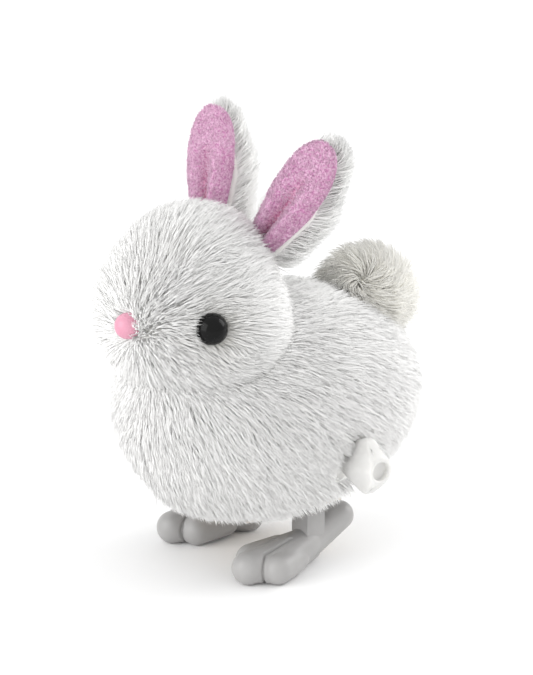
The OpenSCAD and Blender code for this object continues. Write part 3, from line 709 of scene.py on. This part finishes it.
# Painted shade round the eyes: the fur in the hollows there is darkened in colour.
shaded = 1.25 * np.maximum(near(roots, LEFT_EYE_AT, 8 * MM), near(roots, RIGHT_EYE_AT, 8 * MM))
muzzle = near(roots, NOSE_AT + Vector((0, 2, 5)) * MM, 16 * MM)
length = np.where(on_head, 4.1 + 1.6 * muzzle, 4.3) * (1 - 0.6 * short) * (1 - 0.46 * under[:, 0]) \
    * rng.uniform(0.75, 1.15, len(roots))
lift = np.clip(np.where(on_head, 0.60 + 0.12 * muzzle, 0.54) + 0.07 * rng.normal(size=len(roots))
               + 0.2 * round_beads - 0.1 * under[:, 0], 0.15, 0.9)
width = rng.uniform(0.15, 0.27, len(roots)) / math.sqrt(COAT)

# %% [markdown]
# The coat is grown in parts, by place. A part with a modest number of faces is easier to handle, and
# a garment maker's panels, left and right, front and back, give the names.

# %% Growing the coat
left, y = mm[:, 0] > 0, mm[:, 1]
BANDS = {"front": y <= -8, "middle": (y > -8) & (y <= 8), "back": y > 8}
parts = {"fur_head_left": on_head & left, "fur_head_right": on_head & ~left}
for band, rows in BANDS.items():
    parts["fur_body_left_" + band] = ~on_head & left & rows
    parts["fur_body_right_" + band] = ~on_head & ~left & rows
for number, (name, rows) in enumerate(parts.items()):
    piece = grow(name, roots[rows], normals[rows], comb[rows], length[rows], lift[rows], width[rows],
                 WHITE_FUR, STRAND, 12 + number, painted_lightness=np.clip(1 - 0.85 * shaded[rows], 0, 1))

# %% [markdown]
# ## Fur on the ears
# The back of each ear carries the same white pile, brushed towards the tip and outwards, so that it
# frames the velour. The velour itself has a very short pile, which softens its edge.

# %% Ear fur
EAR_STRANDS, VELOUR_STRANDS = 19000, 9000
EAR_ROOT_Z = -3
for number, (side, where) in enumerate(EARS.items()):
    rng = np.random.default_rng(31 + number)
    skin = bpy.data.objects[side + "_ear_skin"].data
    roots, normals = scatter(skin, int(EAR_STRANDS * COAT), rng)
    e = in_space(roots, where)
    turn = np.array(where)[:3, :3]
    faces_back = (normals @ turn / np.linalg.norm(turn[:, 0]))[:, 1] > -0.12
    keep = faces_back & (e[:, 2] > EAR_ROOT_Z)
    roots, normals, e = roots[keep], normals[keep], e[keep]
    comb = (np.array([0, 0.55, 1.0]) + np.stack([e[:, 0] * 0.12, 0 * e[:, 0], 0 * e[:, 0]], 1)) @ turn.T
    comb = comb + 0.2 * tufts(roots, 1.2 * MM, rng) + 0.16 * rng.normal(size=roots.shape)
    length = rng.uniform(4.6, 6.6, len(roots)) * np.clip(1.2 - e[:, 2] / 45, 0.7, 1.2)
    piece = grow("fur_ear_" + side, roots, normals, comb, length,
                 np.clip(0.5 + 0.1 * rng.normal(size=len(roots)), 0.2, 0.8),
                 rng.uniform(0.15, 0.26, len(roots)) / math.sqrt(COAT), WHITE_FUR, STRAND, 41 + number,
                 soft=0.25)
    roots, normals = scatter(linings[side].data, int(VELOUR_STRANDS * COAT), rng)
    front = in_space(roots - 0.2 * MM * normals, where)[:, 1] > in_space(roots, where)[:, 1]
    roots, normals = roots[front], normals[front]
    comb = rng.normal(size=roots.shape) + np.array(turn @ np.array([0, 0, 0.8]))
    piece = grow("velour_pile_" + side, roots, normals, comb, rng.uniform(0.35, 0.6, len(roots)),
                 0.75, 0.2, PILE_PINK, SHORT_STRAND, 51 + number)

# %% [markdown]
# ## Tail
# The tail is a pompom of long cream pile that has been twisted, so that its hair swirls out from one
# point. The comb field is a turn about that point's axis plus a push away from it.

# %% Tail pompom
TAIL_AT, TAIL_SEMI = (0, 23.7, 47.5), (5.6, 6.0, 5.2)
TAIL_STRANDS = 12000
tail_bm = bmesh.new()
add_ellipsoid(tail_bm, TAIL_SEMI, place(TAIL_AT), 32)
tail = make_piece("tail_core", tail_bm, CREAM_BACKING)
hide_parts("tail_pompom")
rng = np.random.default_rng(61)
roots, normals = scatter(tail.data, int(TAIL_STRANDS * COAT), rng)
WHORL = unit(np.array([0.55, -0.5, 0.67]))
away = unit(flat_on(-np.broadcast_to(WHORL, normals.shape), normals))
swirl = np.cross(WHORL, normals)
lock = tufts(roots, 1.6 * MM, rng)
comb = 0.75 * away + 0.6 * unit(swirl) + 0.35 * lock + 0.45 * ripple(roots, 7 * MM, 8) \
    + 0.2 * rng.normal(size=roots.shape)
piece = grow("fur_tail", roots, normals, comb, rng.uniform(4.4, 6.6, len(roots)),
             np.clip(0.62 + 0.12 * rng.normal(size=len(roots)), 0.25, 0.9),
             rng.uniform(0.2, 0.34, len(roots)) / math.sqrt(COAT), CREAM_FUR, LONG_STRAND, 62, curl=0.35,
             soft=0.1)

# %% [markdown]
# ## Moulded feet
# A foot is one moulding with three rounded toes and thin grooves between them. Each toe is a hull of
# two balls, the hulls are welded with a fine voxel remesh, and a plane trims the sole flat.

# %% Feet
def toe_hull(parts):
    return hull([((r, r, r), at) for at, r in parts], segments=32)


GROOVES = [[(16.6, -12.2), (14.7, -10.2), (13.5, -3.8)], [(9.4, -13.3), (11.0, -10.8), (11.1, -5.4)]]


def from_segment(p, a, b):
    """Distance from a point to a straight line's stretch, seen from above."""
    share = max(0.0, min(1.0, (p - a).dot(b - a) / (b - a).length_squared))
    return (p - a - (b - a) * share).length


GROOVE_DEPTH, GROOVE_WIDTH, GROOVE_REACH = 0.6, 0.24, 0.9
FOOT_VOXEL, FOOT_SMOOTHING = 0.18, 8


def foot_bm():
    soles = [
        [((12.95, -12.8, 3.0), 3.2), ((12.3, -3.4, 3.5), 3.2)],
        [((9.15, -9.6, 2.8), 2.95), ((9.3, -3.4, 3.2), 2.95)],
        [((16.15, -8.4, 2.8), 2.95), ((14.1, -3.4, 3.2), 2.95)],
        [((9.7, 3.1, 2.4), 2.6), ((13.5, -3.4, 3.2), 2.94), ((11.3, 2.6, 5.1), 2.6)],
        [((12.9, -11.9, 2.9), 2.95), ((15.7, -8.4, 2.75), 2.8), ((9.6, -9.3, 2.75), 2.75),
         ((13.4, -3.0, 3.9), 3.1), ((11.3, -3.0, 3.9), 3.0), ((12.2, 1.2, 4.9), 2.9)],
        [((11.9, -3.4, 3.7), 3.1), ((11.6, 3.6, 5.4), 2.9)],
        [((11.6, 1.7, 4.7), 3.3), ((11.0, 9.5, 8.1), 2.85)],
    ]
    bm = weld([toe_hull(s) for s in soles], FOOT_VOXEL, FOOT_SMOOTHING)
    for v in bm.verts:
        at = v.co / MM
        for line in GROOVES:
            pairs = list(zip(line, line[1:]))
            away = min(from_segment(at.xy, Vector(a), Vector(b)) for a, b in pairs)
            if away < GROOVE_REACH:
                v.co -= v.normal * GROOVE_DEPTH * MM * math.exp(-(away / GROOVE_WIDTH) ** 2)
    bmesh.ops.bisect_plane(bm, geom=bm.verts[:] + bm.edges[:] + bm.faces[:], plane_co=(0, 0, 0),
                           plane_no=(0, 0, -1), clear_outer=True)
    rim = [e for e in bm.edges if e.is_boundary]
    bmesh.ops.holes_fill(bm, edges=rim)
    bmesh.ops.recalc_face_normals(bm, faces=bm.faces)
    return bm


for side, mirror in (("left", Matrix()), ("right", MIRROR)):
    bm = foot_bm()
    bm.transform(mirror)
    face_outwards(bm)
    foot = make_piece(side + "_moulded_foot", bm, FOOT_GREY, "legs")
    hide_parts(side + "_foot")
    print(foot.name, len(foot.data.polygons), "faces")

# %% [markdown]
# ## Belly cloth
# The plush is closed under the motor by a small cloth, coloured a warm beige that is partly its
# own colour and partly painted shade and bounce light from the hollow under the body. It is a grid
# that sags a little between its four sewn edges, with shallow puckers, and solidify gives it the
# thickness of real cloth. Two stitches hold it to the casing.

# %% Belly cloth and stitches
CLOTH_W, CLOTH_L, CLOTH_THICK = 16.4, 22.0, 0.4
CLOTH_Y, CLOTH_Z, SAG = 1.1, 10.1, 1.7
cloth_bm = bmesh.new()
bmesh.ops.create_grid(cloth_bm, x_segments=40, y_segments=54, size=0.5)
for v in cloth_bm.verts:
    u, t = 2 * v.co.x, 2 * v.co.y
    sag = (1 - u ** 4) * (1 - t ** 4)
    pucker = 0.12 * math.sin(11 * t + 3 * u) + 0.08 * math.sin(17 * u - 5 * t)
    v.co = Vector((u * CLOTH_W / 2, CLOTH_Y + t * CLOTH_L / 2, CLOTH_Z - SAG * sag + pucker * sag)) * MM
bmesh.ops.recalc_face_normals(cloth_bm, faces=cloth_bm.faces)
bmesh.ops.solidify(cloth_bm, geom=cloth_bm.faces[:], thickness=CLOTH_THICK * MM)
bmesh.ops.recalc_face_normals(cloth_bm, faces=cloth_bm.faces)
belly = make_piece("belly_cloth", cloth_bm, BELLY_CLOTH_AND_SHADE)
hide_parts("belly_patch")
stitch_bm = bmesh.new()
for y, turn in ((-6.0, 20), (7.5, -15)):
    bmesh.ops.create_uvsphere(stitch_bm, u_segments=12, v_segments=8, radius=1,
                              matrix=place((3.2, y, 8.1), (0, 0, turn)) @ stretch((1.3, 0.22, 0.22)))
make_piece("belly_stitches", stitch_bm, BACKING)
print("belly cloth faces", len(belly.data.polygons))

# %% [markdown]
# ## Edges of the moulded and turned pieces
# Real mouldings have no sharp edges. A copy of a CAD node is merged, its flat faces are joined, and
# its sharp edges get a narrow bevel that catches the light.

# %% Bevelled copies
SHARP = math.radians(35)


def rounded_copy(node, name, material, width, body):
    bm = bmesh.new()
    bm.from_mesh(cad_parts[node].data)
    bmesh.ops.remove_doubles(bm, verts=bm.verts, dist=1e-6)
    bmesh.ops.dissolve_limit(bm, angle_limit=math.radians(1.5), verts=bm.verts, edges=bm.edges)
    sharp = [e for e in bm.edges if len(e.link_faces) == 2 and e.calc_face_angle() > SHARP]
    bmesh.ops.bevel(bm, geom=sharp, offset=width * MM, offset_type="OFFSET", affect="EDGES",
                    segments=2, profile=0.5, material=-1, clamp_overlap=True)
    bmesh.ops.recalc_face_normals(bm, faces=bm.faces)
    piece = make_piece(name, bm, material, body)
    piece.data.set_sharp_from_angle(angle=SHARP)
    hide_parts(node)
    return piece


knob = rounded_copy("winding_knob", "moulded_knob", KNOB_MILKY, 0.3, "winder")
for side in ("left", "right"):
    leg = rounded_copy(side + "_leg", side + "_moulded_leg", FOOT_GREY, 0.2, "legs")

# %% [markdown]
# ## Finishes for the pieces that stay as CAD
# The motor's pieces already have their real shapes, so they only get a finish. Every one takes a
# material by what it is made of.

# %% Finishes of the CAD nodes
FINISHES = {
    CASE_WHITE: ["case_left", "case_right"],
    GEAR_IVORY: ["great_wheel", "second_wheel", "cam_wheel", "follower_arm"],
    STEEL: ["winding_arbor", "second_axle", "cam_axle", "leg_shaft"],
    SPRING_STEEL: ["mainspring", "return_spring"],
    STUFFING: ["head_stuffing", "body_stuffing"],
}
for material, names in FINISHES.items():
    for name in names:
        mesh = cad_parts[name].data
        mesh.materials.clear()
        mesh.materials.append(material)
print("CAD nodes finished", sum(len(n) for n in FINISHES.values()))

# %% [markdown]
# ## Floor and light
# A pale floor and a pale surround bounce soft light everywhere. One large lamp in front is the key,
# and a smaller one behind lights the rump and the tail.

# %% Stage
floor_material = new_material("pale floor", (0.96, 0.96, 0.96), 0.9)
floor_bm = bmesh.new()
bmesh.ops.create_grid(floor_bm, x_segments=2, y_segments=2, size=6)
floor_mesh = bpy.data.meshes.new("floor")
floor_bm.to_mesh(floor_mesh)
floor_bm.free()
floor_mesh.materials.append(floor_material)
floor = bpy.data.objects.new("floor", floor_mesh)
bpy.context.scene.collection.objects.link(floor)


def add_lamp(name, at, size, power):
    lamp = bpy.data.objects.new(name, bpy.data.lights.new(name, "AREA"))
    lamp.data.size, lamp.data.energy = size, power
    lamp.location = at
    lamp.rotation_mode = "QUATERNION"
    lamp.rotation_quaternion = (AIM - Vector(at)).to_track_quat("-Z", "Y")
    bpy.context.scene.collection.objects.link(lamp)


add_lamp("key", (-0.1, -0.9, 0.38), 0.8, 5.0)
add_lamp("rim", (0.2, 0.75, 0.5), 0.6, 3.4)
world = bpy.data.worlds.new("studio")
world.use_nodes = True
world.node_tree.nodes["Background"].inputs["Color"].default_value = (1, 1, 1, 1)
world.node_tree.nodes["Background"].inputs["Strength"].default_value = 1.0
bpy.context.scene.world = world
bpy.context.scene.view_settings.view_transform = "Standard"
